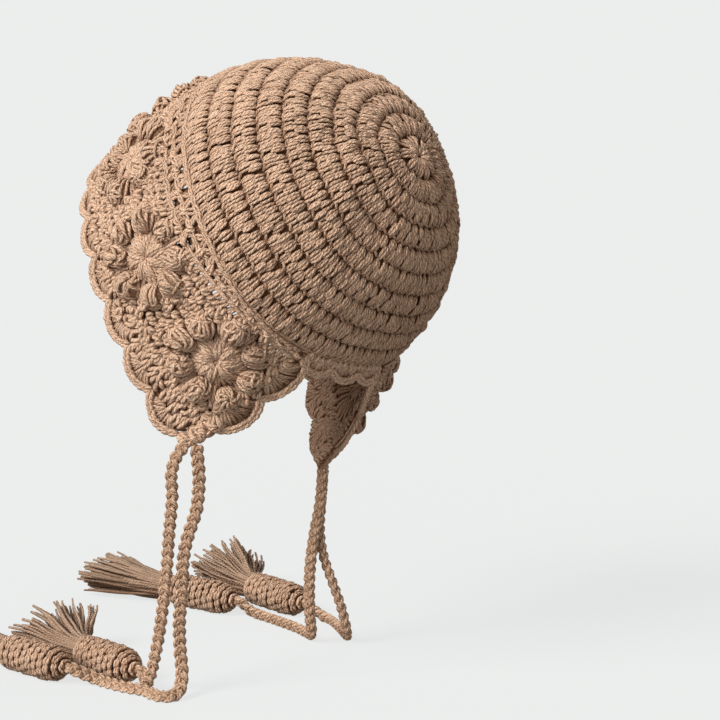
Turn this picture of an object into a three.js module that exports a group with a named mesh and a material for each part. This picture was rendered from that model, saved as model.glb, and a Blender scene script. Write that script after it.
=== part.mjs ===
// Crocheted bonnet: a round crown, a lace band, a strip of popcorn-flower motifs that comes down
// to two ear corners, a scalloped shell edging, and at each corner a pair of cords with tassels.
// Millimetres. +Z is up, +Y is the back of the head, +X is the wearer's left.
// The origin is the centre of the round crown, where the head sits.
import * as THREE from 'three';

const deg = Math.PI / 180;

// How the bonnet sits: the crown's axis points back and up, and the bonnet is turned round it.
const crownTilt = 28 * deg;
const hatRoll = 13.5 * deg;

// Crown
const headRadius = 86;
const crownWall = 4.2;
const rimAngle = 83.5 * deg;          // from the crown's pole to its rim
const napeRise = 6;                   // how far the rim is pulled back at the nape
const napeStart = 125 * deg;          // where that begins, round the axis from the top
const rimRadius = headRadius * Math.sin(rimAngle);
const rimPlane = headRadius * Math.cos(rimAngle);

// Brim, measured from the crown's rim forwards
const brimDepth = 69;                 // to the notches of the front shells
const frontInset = 5;                 // how much narrower the front is than the rim
const frontBend = 0.436;              // bend of the front of a flap, as a share of the crown's
const flapSweep = 4;                  // how far the front edge is swept back at a flap's end
const halfSpan = { left: 229, right: 236 };
const flowersEachSide = 4;
const laceStart = 1.2;
const laceEnd = 13.7;
const panelStart = 14;
const panelEnd = 62;
const endShift = -9;                  // the end motifs sit this much nearer to the rim
const endOffset = 3;                  // and this much nearer to the flap's end
const gap = 0.3;

// Heights over the outer surface of the crown
const lace = { inner: -3.6, outer: -1 };
const panel = { inner: -5, outer: -2 };
const shells = { inner: -4.2, outer: -1.4 };

// Flower motif
const bobbleRing = 20;
const bobbles = 8;
const bobbleHeight = 7.5;
const bobbleSpread = 4.6;
const centreHeight = 4;
const centreRing = 7.5;
const centreSpread = 3.6;

// Shell edging
const shellPitch = 24;
const shellReach = 9;                 // from the notches to the shells' tips
const flapShells = { from: 54, to: 8, base: 4, reach: 6.5, count: 2 };
const napeShells = { base: 3.6, reach: 6.5, count: 3, inset: 4 * deg, hang: 45 * deg };
const tieCorner = { from: 54.3, to: 70, width: 5, reach: 3.5, lumps: 3, puff: 2.6 };

// Cords and tassels
const cordDiameter = 5.2;
const cordStep = 11;
const cap = { length: 42, radius: 8.75, mouth: 8.4, socket: 6.9, depth: 7 };
const capEntry = { near: 0.4, far: 4 };  // a cord's last stretch in front of a cap, on its axis
const skirt = { neck: 6.6, flare: 18, flat: 0.5 };

const yarn = { color: 0xa9866a, roughness: 0.95, metalness: 0 };

// Wide swells (+) and soft dents (-) of the crown: place from the pole and round the axis from
// the top towards the wearer's left, in degrees, height in mm and spread in degrees.
const swells = [
  { pole: 32, around: -25, height: 4.2, spread: 17 },
  { pole: 66, around: 180, height: -5, spread: 24 },
  { pole: 36, around: 137, height: -3.5, spread: 7 },
  { pole: 38, around: 85, height: -1.5, spread: 6 },
  { pole: 12, around: 60, height: -1.5, spread: 6 },
];

function smoothStep(x) {
  const t = Math.min(Math.max(x, 0), 1);
  return t * t * (3 - 2 * t);
}

function bell(x, spread) {
  return Math.exp(-0.5 * (x / spread) ** 2);
}

// Sum of the swells at one direction of the crown
function swellAt(pole, around) {
  let height = 0;
  for (const swell of swells) {
    const a = swell.pole * deg;
    const turn = around - swell.around * deg;
    const cosine = Math.cos(pole) * Math.cos(a) + Math.sin(pole) * Math.sin(a) * Math.cos(turn);
    const away = Math.acos(Math.min(Math.max(cosine, -1), 1));
    height += swell.height * bell(away / deg, swell.spread);
  }
  return height;
}

// The crown's rim, round the axis from the top: its polar angle, its radius and its place
function rimAt(around) {
  const rise = napeRise * smoothStep((Math.abs(around) - napeStart) / (Math.PI - napeStart));
  const pole = rimAngle - rise / headRadius;
  const reach = headRadius + swellAt(pole, around);
  return { pole, radius: reach * Math.sin(pole), y: reach * Math.cos(pole) };
}

// Point of the hat at run mm round the head from the top centre, ahead mm in front of the
// crown's rim and height mm over the surface. Past the side the section bends less than the
// crown does, so that the flaps hang nearly straight.
function brimPoint(run, ahead, height) {
  const side = run < 0 ? -1 : 1;
  const arc = Math.abs(run);
  const share = Math.max(ahead, 0) / brimDepth;
  const bend = 1 - (1 - frontBend) * share ** 0.8;
  const quarter = headRadius * Math.PI / 2;
  const round = Math.min(arc, quarter) / headRadius;
  const turn = Math.max(arc - quarter, 0) * bend / headRadius;
  const bendRadius = headRadius / bend;
  const radius = rimRadius - frontInset * share ** 1.5;
  const rim = rimAt(side * arc / headRadius);
  const angle = round + turn;
  const lift = height + (rim.radius - rimRadius) * Math.max(1 - share * 2, 0);
  const x = radius * Math.sin(round) - bendRadius * (1 - Math.cos(turn)) + lift * Math.sin(angle);
  const z = radius * Math.cos(round) - bendRadius * Math.sin(turn) + lift * Math.cos(angle);
  const back = flapSweep * share * (arc / halfSpan.left) ** 2;
  return new THREE.Vector3(side * x, mix(rim.y, rimPlane, share) - ahead + back, z);
}

// Point of what hangs from the nape's rim, around from the top and reach mm from the rim's edge.
// It leaves the crown's surface and turns outward and down by the hang angle.
function napePoint(around, reach, height) {
  const rim = rimAt(around > Math.PI ? around - 2 * Math.PI : around);
  const { hang } = napeShells;
  const depth = height - shells.outer;
  const radius = rim.radius + shells.outer + reach * Math.sin(hang) + depth * Math.cos(hang);
  const y = rim.y - 2 * gap - reach * Math.cos(hang) + depth * Math.sin(hang);
  return new THREE.Vector3(radius * Math.sin(around), y, radius * Math.cos(around));
}

// The end motifs of the strip are drawn in towards the rim
function stripShift(run) {
  return endShift * smoothStep((Math.abs(run) - 140) / 66);
}

// A closed slab made from a box: its three parameters from 0 to 1 are handed to place()
function slab(columns, rows, place) {
  const geometry = new THREE.BoxGeometry(1, 1, 1, columns, rows, 1);
  const position = geometry.attributes.position;
  for (let i = 0; i < position.count; i += 1) {
    const p = place(position.getX(i) + 0.5, position.getY(i) + 0.5, position.getZ(i) + 0.5);
    position.setXYZ(i, p.x, p.y, p.z);
  }
  return geometry;
}

function mix(a, b, t) {
  return a + (b - a) * t;
}

function node(name, geometry) {
  const mesh = new THREE.Mesh(geometry, new THREE.MeshStandardMaterial(yarn));
  mesh.name = name;
  return mesh;
}

// Crown: a round shell, open at the rim
function crownGeometry() {
  const outerSteps = 13;
  const innerSteps = 8;
  const segments = 40;
  const profile = [];
  for (let i = 0; i <= outerSteps; i += 1) {
    const a = rimAngle * i / outerSteps;
    profile.push(new THREE.Vector2(headRadius * Math.sin(a), headRadius * Math.cos(a)));
  }
  const inner = headRadius - crownWall;
  for (let i = innerSteps; i >= 0; i -= 1) {
    const a = rimAngle * i / innerSteps;
    profile.push(new THREE.Vector2(inner * Math.sin(a), inner * Math.cos(a)));
  }
  profile[0].x = 0;
  profile[profile.length - 1].x = 0;
  const geometry = new THREE.LatheGeometry(profile.reverse(), segments);
  const position = geometry.attributes.position;
  for (let i = 0; i < position.count; i += 1) {
    const p = new THREE.Vector3().fromBufferAttribute(position, i);
    const radius = p.length();
    const flat = Math.hypot(p.x, p.z);
    const around = flat < 1e-6 ? 0 : Math.atan2(p.x, p.z);
    const pole = Math.atan2(flat, p.y) * rimAt(around).pole / rimAngle;
    const r = radius + swellAt(pole, around);
    const x = flat < 1e-6 ? 0 : r * Math.sin(pole) * Math.sin(around);
    const z = flat < 1e-6 ? 0 : r * Math.sin(pole) * Math.cos(around);
    position.setXYZ(i, x, r * Math.cos(pole), z);
  }
  return geometry;
}

function laceGeometry() {
  return slab(64, 2, (u, v, w) => {
    const run = mix(-halfSpan.right, halfSpan.left, u);
    const ahead = mix(laceEnd + stripShift(run), laceStart, v);
    return brimPoint(run, ahead, mix(lace.inner, lace.outer, w));
  });
}

// Height of a flower motif over its panel, a mm along and b mm across from its middle:
// a ring of puffed petals round a dimple, and eight bobbles round that
function flowerHeight(a, b) {
  const r = Math.hypot(a, b);
  let height = centreHeight * bell(r - centreRing, centreSpread);
  for (let k = 0; k < bobbles; k += 1) {
    const angle = 2 * Math.PI * (k + 0.5) / bobbles;
    const away = Math.hypot(a - bobbleRing * Math.cos(angle), b - bobbleRing * Math.sin(angle));
    height += bobbleHeight * bell(away, bobbleSpread);
  }
  return height;
}

// One motif: a square panel cut in rings round its middle, so that the bobbles fall on its points
function flowerGeometry(from, to, offset) {
  const spokes = 24;
  const outerRings = [5, 9, 13.5, 20, 25];
  const innerRings = [14];
  const middle = (from + to) / 2;
  const halfRun = Math.abs(to - from) / 2;
  const halfDepth = (panelEnd - panelStart) / 2;
  const centre = (panelStart + panelEnd) / 2;
  const positions = [];
  const index = [];
  const add = (a, b, height) => {
    const run = middle + a;
    const p = brimPoint(run, centre - b + stripShift(run), height);
    positions.push(p.x, p.y, p.z);
    return positions.length / 3 - 1;
  };
  const edgeReach = (angle) => {
    const c = Math.abs(Math.cos(angle));
    const s = Math.abs(Math.sin(angle));
    return Math.min(c > 1e-9 ? halfRun / c : 1e9, s > 1e-9 ? halfDepth / s : 1e9);
  };
  const corner = Math.atan2(halfDepth, halfRun);
  const angles = [];
  for (let i = 0; i < spokes; i += 1) {
    angles.push(2 * Math.PI * (i + 0.5) / spokes);
  }
  // the spokes nearest to the four corners are turned to run into them
  for (const c of [corner, Math.PI - corner, Math.PI + corner, 2 * Math.PI - corner]) {
    let best = 0;
    for (let i = 1; i < spokes; i += 1) {
      best = Math.abs(angles[i] - c) < Math.abs(angles[best] - c) ? i : best;
    }
    angles[best] = c;
  }
  const side = (rings, level, relief) => {
    const loops = [[add(0, 0, level + (relief ? flowerHeight(offset, 0) : 0))]];
    for (const r of [...rings, null]) {
      const loop = [];
      for (const angle of angles) {
        const reach = r === null ? edgeReach(angle) : Math.min(r, edgeReach(angle) - 1.2);
        const a = reach * Math.cos(angle);
        const b = reach * Math.sin(angle);
        const height = relief && r !== null ? flowerHeight(a - offset, b) : 0;
        loop.push(add(a, b, level + height));
      }
      loops.push(loop);
    }
    return loops;
  };
  const outer = side(outerRings, panel.outer, true);
  const inner = side(innerRings, panel.inner, false);
  const quad = (a, b, c, d) => {
    index.push(a, b, c, a, c, d);
  };
  for (let i = 0; i < spokes; i += 1) {
    const j = (i + 1) % spokes;
    index.push(outer[0][0], outer[1][i], outer[1][j]);
    index.push(inner[0][0], inner[1][j], inner[1][i]);
    for (let k = 1; k < outer.length - 1; k += 1) {
      quad(outer[k][i], outer[k + 1][i], outer[k + 1][j], outer[k][j]);
    }
    for (let k = 1; k < inner.length - 1; k += 1) {
      quad(inner[k][j], inner[k + 1][j], inner[k + 1][i], inner[k][i]);
    }
    const lastOuter = outer[outer.length - 1];
    const lastInner = inner[inner.length - 1];
    quad(lastOuter[i], lastInner[i], lastInner[j], lastOuter[j]);
  }
  const geometry = new THREE.BufferGeometry();
  geometry.setAttribute('position', new THREE.Float32BufferAttribute(positions, 3));
  geometry.setIndex(index);
  return geometry;
}

// Rounded outline of one shell after another, 0 in the notches and 1 at the tips
function scallop(t) {
  return Math.sqrt(Math.abs(Math.sin(Math.PI * t)));
}

function frontEdgingGeometry() {
  const count = Math.round((halfSpan.left + halfSpan.right) / shellPitch);
  return slab(count * 4, 2, (u, v, w) => {
    const run = mix(-halfSpan.right, halfSpan.left, u);
    const tip = brimDepth + shellReach * scallop(u * count);
    const ahead = mix(tip, panelEnd + gap + stripShift(run), v);
    return brimPoint(run, ahead, mix(shells.inner, shells.outer, w));
  });
}

// Shells along the back edge of a flap, from the tie corner to the nape
function flapEdgingGeometry(side) {
  const start = halfSpan[side] + gap;
  const sign = side === 'left' ? 1 : -1;
  return slab(flapShells.count * 5, 2, (u, v, w) => {
    const ahead = sign > 0 ? mix(flapShells.to, flapShells.from, u) : mix(flapShells.from, flapShells.to, u);
    const width = flapShells.base + flapShells.reach * scallop(u * flapShells.count);
    return brimPoint(sign * (start + width * v), ahead, mix(shells.inner, shells.outer, w));
  });
}

// Shells under the rim of the crown at the nape, between the two flaps
function napeEdgingGeometry() {
  const from = halfSpan.left / headRadius + napeShells.inset;
  const to = 2 * Math.PI - halfSpan.right / headRadius - napeShells.inset;
  return slab(napeShells.count * 5, 2, (u, v, w) => {
    const width = napeShells.base + napeShells.reach * scallop(u * napeShells.count);
    return napePoint(mix(from, to, u), width * (1 - v), mix(shells.inner, shells.outer, w));
  });
}

// Small popcorns where the ties leave the hat
function tieCornerGeometry(side) {
  const start = halfSpan[side] + gap;
  const sign = side === 'left' ? 1 : -1;
  return slab(tieCorner.lumps * 4, 3, (u, v, w) => {
    const ahead = sign > 0 ? mix(tieCorner.from, tieCorner.to, u) : mix(tieCorner.to, tieCorner.from, u);
    const round = scallop(u * tieCorner.lumps);
    const width = tieCorner.width + tieCorner.reach * round;
    const puff = tieCorner.puff * round * Math.sin(Math.PI * v);
    const height = w > 0.5 ? shells.outer + puff : shells.inner - puff;
    return brimPoint(sign * (start + width * v), ahead, height);
  });
}

// Tassels lie on the level that the bonnet's ties reach: where the cap's tip is, the way the
// cap points, in degrees from +Y towards -X, and the fringe: its length, how far it turns
// sideways on its way and how high its end is lifted.
const floorLevel = -221;
const tassels = {
  left_front: { tip: [79.4, -40.1], heading: 162.5, fringe: 54, turn: 43, lift: 2 },
  left_back: { tip: [93.5, -72.4], heading: 169, fringe: 58, turn: -4, lift: 1.5 },
  right_front: { tip: [-54.7, -70], heading: 173.4, fringe: 58, turn: -7, lift: 1.5 },
  right_back: { tip: [-69.5, -35.1], heading: 160.7, fringe: 54, turn: 47, lift: 7 },
};

// Cords, from the tie corner down and along the floor towards the tassel of the same name
const cordRoutes = {
  left_front: [
    [76.8, -11.3, -97.3], [78.9, -14.4, -102.4], [80.3, -16.7, -111], [80.2, -16.4, -121],
    [80.6, -17.1, -131], [81.1, -18.1, -142], [81.5, -18.8, -153], [82.1, -20, -167],
    [82.8, -21.2, -178], [83.8, -23, -192], [83.8, -25.6, -203], [83, -28.6, -212],
    [82.3, -31.4, -216.6],
  ],
  left_back: [
    [74, -6.1, -97.6], [74.3, -5.4, -104], [74, -4.9, -112], [74.2, -5.2, -120],
    [74.7, -6.2, -129], [76, -8.5, -137], [77.3, -10.9, -146], [78, -12.3, -157],
    [78.3, -12.9, -170], [78.9, -14, -184], [78.9, -13.8, -199], [81, -11.5, -211],
    [87, -10, -217.6], [93, -12.5, -218.4], [93.5, -19, -218.4], [90, -27, -218.4],
    [90.3, -35, -218.4], [89.5, -46, -218.4], [88, -57, -217.6],
  ],
  right_front: [
    [-27, 3.8, -124.9], [-27.4, 2.8, -135], [-27.2, 1.6, -146], [-25.8, -0.9, -161],
    [-24.8, -2.8, -177], [-25, -3.6, -192], [-26.6, -4.2, -205], [-30.3, -5.8, -215],
    [-36, -11.6, -218.4], [-41.2, -19.6, -218.4], [-45.6, -29, -218.4], [-49.5, -39, -218.4],
    [-53.5, -50, -218.4], [-55.2, -60, -216.6],
  ],
  right_back: [
    [-32, 1, -123.6], [-32.4, 0, -135], [-32.2, -0.8, -147], [-31.5, -1, -160],
    [-31, 1.5, -173], [-32, 6, -186], [-34, 10, -199], [-37, 11.5, -211],
    [-42.5, 8.5, -217.7], [-50, 1.5, -218.4], [-58.5, -7, -218.4], [-65.5, -15, -218.4],
    [-68.4, -23, -217],
  ],
};

// Point on the axis of a cap, ahead mm in front of its tip
function capPoint(tassel, ahead) {
  const a = tassel.heading * deg;
  const [x, y] = tassel.tip;
  return [x + ahead * Math.sin(a), y - ahead * Math.cos(a), floorLevel + cap.radius];
}

function cordGeometry(route) {
  const curve = new THREE.CatmullRomCurve3(route.map((p) => new THREE.Vector3(...p)));
  const section = new THREE.Shape();
  const sides = 8;
  for (let i = 0; i < sides; i += 1) {
    const a = 2 * Math.PI * i / sides;
    const x = Math.cos(a) * cordDiameter / 2;
    const y = Math.sin(a) * cordDiameter / 2;
    if (i === 0) {
      section.moveTo(x, y);
    } else {
      section.lineTo(x, y);
    }
  }
  const steps = Math.round(curve.getLength() / cordStep);
  return new THREE.ExtrudeGeometry(section, { steps, extrudePath: curve, bevelEnabled: false });
}

// Cap of a tassel, a thimble along +Y with its round tip at the origin and a socket in its mouth
function capGeometry() {
  const profile = [new THREE.Vector2(0, 0)];
  const domeSteps = 4;
  const dome = 12;
  for (let i = 1; i <= domeSteps; i += 1) {
    const a = Math.PI / 2 * i / domeSteps;
    profile.push(new THREE.Vector2(cap.radius * Math.sin(a), dome * (1 - Math.cos(a))));
  }
  profile.push(new THREE.Vector2(cap.radius, cap.length * 0.7));
  profile.push(new THREE.Vector2(cap.mouth, cap.length));
  profile.push(new THREE.Vector2(cap.socket, cap.length));
  profile.push(new THREE.Vector2(cap.socket, cap.length - cap.depth));
  profile.push(new THREE.Vector2(0, cap.length - cap.depth));
  return new THREE.LatheGeometry(profile, 12);
}

// Fringe of a tassel, from the cap's socket: it spreads, flattens and turns on its way
function skirtGeometry(tassel) {
  const start = cap.length - cap.depth + gap;
  const steps = 5;
  const profile = [
    new THREE.Vector2(0, start),
    new THREE.Vector2(skirt.neck, start),
    new THREE.Vector2(skirt.neck, cap.length + 1),
  ];
  for (let i = 1; i <= steps; i += 1) {
    const t = i / steps;
    profile.push(new THREE.Vector2(mix(skirt.neck, skirt.flare, t), cap.length + tassel.fringe * t));
  }
  profile.push(new THREE.Vector2(0, cap.length + tassel.fringe));
  const geometry = new THREE.LatheGeometry(profile, 12);
  const position = geometry.attributes.position;
  const bend = tassel.turn * deg;
  const radius = tassel.fringe / bend;
  for (let i = 0; i < position.count; i += 1) {
    const along = Math.max(position.getY(i) - cap.length, 0);
    const t = along / tassel.fringe;
    const side = position.getX(i);
    const x = radius * (1 - Math.cos(bend * t)) + side * Math.cos(bend * t);
    const y = radius * Math.sin(bend * t) - side * Math.sin(bend * t);
    const z = position.getZ(i) * mix(1, skirt.flat, t) + tassel.lift * t * t;
    position.setXYZ(i, x, y + position.getY(i) - along, z);
  }
  return geometry;
}

const bonnet = new THREE.Group();

const hat = new THREE.Group();
hat.rotation.set(crownTilt, -hatRoll, 0);
hat.add(node('crown', crownGeometry()));
hat.add(node('lace_band', laceGeometry()));
for (const [side, sign] of [['left', 1], ['right', -1]]) {
  const pitch = halfSpan[side] / flowersEachSide;
  for (let i = 0; i < flowersEachSide; i += 1) {
    const from = sign * (pitch * i + gap / 2);
    const to = sign * (pitch * (i + 1) - gap / 2);
    const offset = i === flowersEachSide - 1 ? sign * endOffset : 0;
    hat.add(node(`flower_${side}_${i + 1}`, flowerGeometry(from, to, offset)));
  }
  hat.add(node(`flap_edging_${side}`, flapEdgingGeometry(side)));
  hat.add(node(`tie_corner_${side}`, tieCornerGeometry(side)));
}
hat.add(node('front_edging', frontEdgingGeometry()));
hat.add(node('nape_edging', napeEdgingGeometry()));
bonnet.add(hat);

for (const [name, tassel] of Object.entries(tassels)) {
  const route = [...cordRoutes[name], capPoint(tassel, capEntry.far), capPoint(tassel, capEntry.near)];
  bonnet.add(node(`cord_${name}`, cordGeometry(route)));
  const group = new THREE.Group();
  group.position.set(...capPoint(tassel, 0));
  group.rotation.z = tassel.heading * deg;
  group.add(node(`tassel_cap_${name}`, capGeometry()));
  group.add(node(`tassel_skirt_${name}`, skirtGeometry(tassel)));
  bonnet.add(group);
}

export default bonnet;
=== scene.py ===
import math
import bpy
import numpy as np
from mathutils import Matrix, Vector


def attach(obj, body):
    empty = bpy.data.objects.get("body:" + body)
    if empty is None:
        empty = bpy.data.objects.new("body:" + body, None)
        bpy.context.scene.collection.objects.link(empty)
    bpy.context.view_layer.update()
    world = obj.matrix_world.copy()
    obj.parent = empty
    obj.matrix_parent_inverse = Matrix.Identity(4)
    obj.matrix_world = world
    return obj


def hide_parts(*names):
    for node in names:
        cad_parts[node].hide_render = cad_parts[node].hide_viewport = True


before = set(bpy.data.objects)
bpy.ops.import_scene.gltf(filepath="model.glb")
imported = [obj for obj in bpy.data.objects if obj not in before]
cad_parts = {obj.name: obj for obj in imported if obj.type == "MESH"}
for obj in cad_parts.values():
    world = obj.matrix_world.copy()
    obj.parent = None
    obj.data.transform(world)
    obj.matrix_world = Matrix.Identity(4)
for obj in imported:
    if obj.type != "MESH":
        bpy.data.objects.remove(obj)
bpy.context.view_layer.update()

# A bonnet crocheted in one tan yarn, stitch by stitch: every post, loop, petal, bobble and chain
# is a strand of yarn carried along the hat's surface. Metres and radians.

mm = 0.001
deg = math.pi / 180
dice = np.random.default_rng(11)


# the hat's surface, in a frame of its own with the crown's axis along y
hat = {
    "tilt": 28 * deg,            # the crown's axis points back and up
    "roll": 13.5 * deg,          # the bonnet is turned round it
    "headRadius": 86 * mm,
    "rimAngle": 83.5 * deg,      # from the pole to the crown's rim
    "napeRise": 6 * mm,          # the rim draws in by this at the nape
    "napeStart": 125 * deg,
    "brimDepth": 69 * mm,        # from the crown's rim to the shells' notches
    "frontInset": 5 * mm,        # the front is narrower than the rim
    "frontBend": 0.436,          # and its sides bend less, as a share of the crown's bend
    "flapSweep": 4 * mm,         # its ends lie this much farther back
    "left": 229 * mm,            # from the top centre to the flap's end
    "right": 236 * mm,
    "endShift": -9 * mm,         # the strip's ends are drawn in towards the rim
    "shiftFrom": 140 * mm,
    "shiftOver": 66 * mm,
}
# swells (+) and dents (-) of the crown: pole and round angle in degrees, height in millimetres,
# spread in degrees; the last five are small folds of slack fabric
swells = np.array([
    (32, -25, 4.2, 17),
    (66, 180, -5.0, 24),
    (36, 137, -3.5, 7),
    (38, 85, -1.5, 6),
    (12, 60, -1.5, 6),
    (22, 68, -2.0, 4.5),
    (29, 54, -1.3, 4.5),
    (38, 84, -1.2, 4.0),
    (11, 18, -1.2, 5.0),
    (30, 96, 1.3, 6.5),
]) * np.array([deg, deg, mm, deg])
rimRadius = hat["headRadius"] * math.sin(hat["rimAngle"])
rimPlane = hat["headRadius"] * math.cos(hat["rimAngle"])


def unit(v):
    # each vector divided by its length
    return v / np.maximum(np.linalg.norm(v, axis=-1, keepdims=True), 1e-12)


def mix(a, b, t):
    # from a to b as t goes from 0 to 1
    return a + (b - a) * t


def turned(x, y, angle):
    # turned in its plane, from x towards y
    return x * np.cos(angle) - y * np.sin(angle), x * np.sin(angle) + y * np.cos(angle)


def smoothStep(x):
    # 0 below 0, 1 above 1, and between them three squares of t less two cubes
    t = np.clip(x, 0, 1)
    return t * t * (3 - 2 * t)


def hump(t, edge):
    # half a sine wave over t, cut off just inside its ends
    return np.sin(math.pi * np.clip(t, edge, 1 - edge))


def jitter(size, *shape):
    # chance differences, normally spread
    return size * dice.standard_normal(shape)


def swellAt(pole, around):
    # sum of bells over the angle from each swell's middle
    total = 0
    for itsPole, itsAround, height, spread in swells:
        level = np.sin(pole) * math.sin(itsPole) * np.cos(around - itsAround)
        away = np.arccos(np.clip(np.cos(pole) * math.cos(itsPole) + level, -1, 1))
        total = total + height * np.exp(-0.5 * (away / spread) ** 2)
    return total


def rimAt(around):
    # polar angle, radius and place of the crown's rim round the axis
    turn = np.abs((around + math.pi) % (2 * math.pi) - math.pi)
    rise = hat["napeRise"] * smoothStep((turn - hat["napeStart"]) / (math.pi - hat["napeStart"]))
    pole = hat["rimAngle"] - rise / hat["headRadius"]
    reach = hat["headRadius"] + swellAt(pole, around)
    return pole, reach * np.sin(pole), reach * np.cos(pole)


def roundAxis(radius, y, around):
    # a place this far from the axis, turned round it from z towards x
    return np.stack([radius * np.sin(around), y, radius * np.cos(around)], -1)


def crownAt(pole, around, height):
    # a ball's surface with its swells, height over it; the axis is y
    r = hat["headRadius"] + swellAt(pole, around) + height
    return roundAxis(r * np.sin(pole), r * np.cos(pole), around)


def brimAt(run, ahead, height):
    # run round the head from the top, ahead of the rim, height over the surface; past the side
    # the section bends less than the crown does
    side = np.where(run < 0, -1.0, 1.0)
    arc = np.abs(run)
    share = np.maximum(ahead, 0) / hat["brimDepth"]
    bend = 1 - (1 - hat["frontBend"]) * share ** 0.8
    head = hat["headRadius"]
    quarter = head * math.pi / 2
    roundAngle = np.minimum(arc, quarter) / head
    turn = np.maximum(arc - quarter, 0) * bend / head
    bendRadius = head / bend
    radius = rimRadius - hat["frontInset"] * share ** 1.5
    rimR, rimY = rimAt(run / head)[1:]
    angle = roundAngle + turn
    lift = height + (rimR - rimRadius) * np.maximum(1 - share * 2, 0)
    x = radius * np.sin(roundAngle) - bendRadius * (1 - np.cos(turn)) + lift * np.sin(angle)
    z = radius * np.cos(roundAngle) - bendRadius * np.sin(turn) + lift * np.cos(angle)
    back = hat["flapSweep"] * share * (arc / hat["left"]) ** 2
    return np.stack([side * x, mix(rimY, rimPlane, share) - ahead + back, z], -1)


def stripShift(run):
    # how far the strip is moved ahead: nothing in its middle, the end shift at its ends
    return hat["endShift"] * smoothStep((np.abs(run) - hat["shiftFrom"]) / hat["shiftOver"])


nape = {
    "hang": 45 * deg,            # between its fall and the crown's axis
    "middle": 1.4 * mm,          # depth of the fabric's middle
    "gap": 0.6 * mm,
    "inset": 4 * deg,            # from a flap's end to its first shell
}


def napeAt(around, reach, height):
    # leaves the crown's rim and turns outward and down by the hang angle
    rimR, rimY = rimAt(around)[1:]
    out, down = turned(height + nape["middle"], reach, -nape["hang"])
    return roundAxis(rimR - nape["middle"] + out, rimY - nape["gap"] - down, around)


def fromHat(p):
    # hat frame to part frame: turned round y by the roll, then round x by the tilt
    x, z = turned(p[..., 0], p[..., 2], hat["roll"])
    y, z = turned(p[..., 1], z, hat["tilt"])
    return np.stack([x, y, z], -1)


def addObject(name, data):
    # in the scene, unturned and at the origin
    thing = bpy.data.objects.new(name, data)
    bpy.context.scene.collection.objects.link(thing)
    return thing


# yarn
def newSkein():
    # lists of arrays that makePiece joins into one mesh
    return {"points": [], "faces": [], "uvs": [], "tones": [], "depths": [], "count": 0}


def addTubes(skein, points, length, tone, depth, starts, ends):
    # n tubes of k rings with s points each: quads between the rings, and a fan to a pole at both ends.
    # points (n, k, s, 3), length (n, k), tone (n,), depth (n, k, s) of painted shade, poles (n, 3)
    n, k, s = points.shape[:3]
    stride = k * s + 2
    first = skein["count"] + np.arange(n)[:, None, None] * stride
    flat = [points.reshape(n, k * s, 3), starts[:, None], ends[:, None]]
    skein["points"].append(np.concatenate(flat, axis=1).reshape(-1, 3))

    def addFaces(corners, u, v):
        # the same corners for each tube; u runs along the yarn, v round it
        skein["faces"].append((corners + first).reshape(-1, corners.shape[-1]))
        skein["uvs"].append(np.stack(np.broadcast_arrays(u, v), -1).reshape(-1, 2))

    ring = np.arange(k - 1)[:, None] * s
    col = np.arange(s)
    nxt = (col + 1) % s
    quads = np.stack([ring + col, ring + nxt, ring + s + nxt, ring + s + col], -1).reshape(-1, 4)
    u = np.stack([length[:, :-1], length[:, :-1], length[:, 1:], length[:, 1:]], -1)[:, :, None]
    addFaces(quads, u, np.stack([col, col + 1, col + 1, col], -1) / s)
    last = (k - 1) * s
    fans = (
        ([col, 0 * col + k * s, nxt], (0, 0.5, 1), length[:, 0]),
        ([last + col, last + nxt, 0 * col + k * s + 1], (0, 1, 0.5), length[:, -1]),
    )
    for corners, v, u in fans:
        addFaces(np.stack(corners, -1), u[:, None, None], (col[:, None] + np.array(v)) / s)
    skein["tones"].append(np.repeat(tone, stride))
    depth = np.broadcast_to(depth, (n, k, s))
    poles = depth[:, (0, -1)].mean(axis=2)
    skein["depths"].append(np.concatenate([depth.reshape(n, k * s), poles], axis=1).reshape(-1))
    skein["count"] += n * stride


def addStrands(skein, points, outs, radius, sides=5, rise=1.0, sunk=1.0):
    # each strand is a ring of its radius carried along its points (n, k, 3) and closed by a
    # point at both ends; outs (n, k, 3) says which way the surface faces.
    # depth is painted shade: 1 on the side that faces out, darker towards the hidden side by the given
    # share of painted side shade, and times rise, a painted shade for low or hidden strands
    n, k = points.shape[:2]
    tangent = unit(np.gradient(points, axis=1))
    across = unit(np.cross(tangent, outs))
    up = np.cross(across, tangent)
    radius = np.broadcast_to(radius, (n, k))[..., None, None]
    angle = 2 * math.pi * (np.arange(sides) + 0.5) / sides
    ring = np.cos(angle)[:, None] * across[:, :, None] + np.sin(angle)[:, None] * up[:, :, None]
    steps = np.linalg.norm(np.diff(points, axis=1), axis=-1)
    length = np.concatenate([np.zeros((n, 1)), np.cumsum(steps, axis=1)], axis=1)
    length = length + dice.random((n, 1))
    tone = dice.random(n)
    start = points[:, 0] - tangent[:, 0] * radius[:, 0, 0] * 0.5
    end = points[:, -1] + tangent[:, -1] * radius[:, -1, 0] * 0.5
    # rings run against the strand's direction of turning, so that the faces look outwards
    grid = (points[:, :, None] + radius * ring)[:, :, ::-1]
    # painted shade: the sides and the hidden side of each strand are darker
    facing = 1 - sunk * (1 - np.clip(np.sin(angle) * 0.8 + 0.35, 0, 1)[::-1])
    depth = np.broadcast_to(rise, (n, k))[..., None] * facing
    addTubes(skein, grid, length, tone, depth, start, end)


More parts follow.
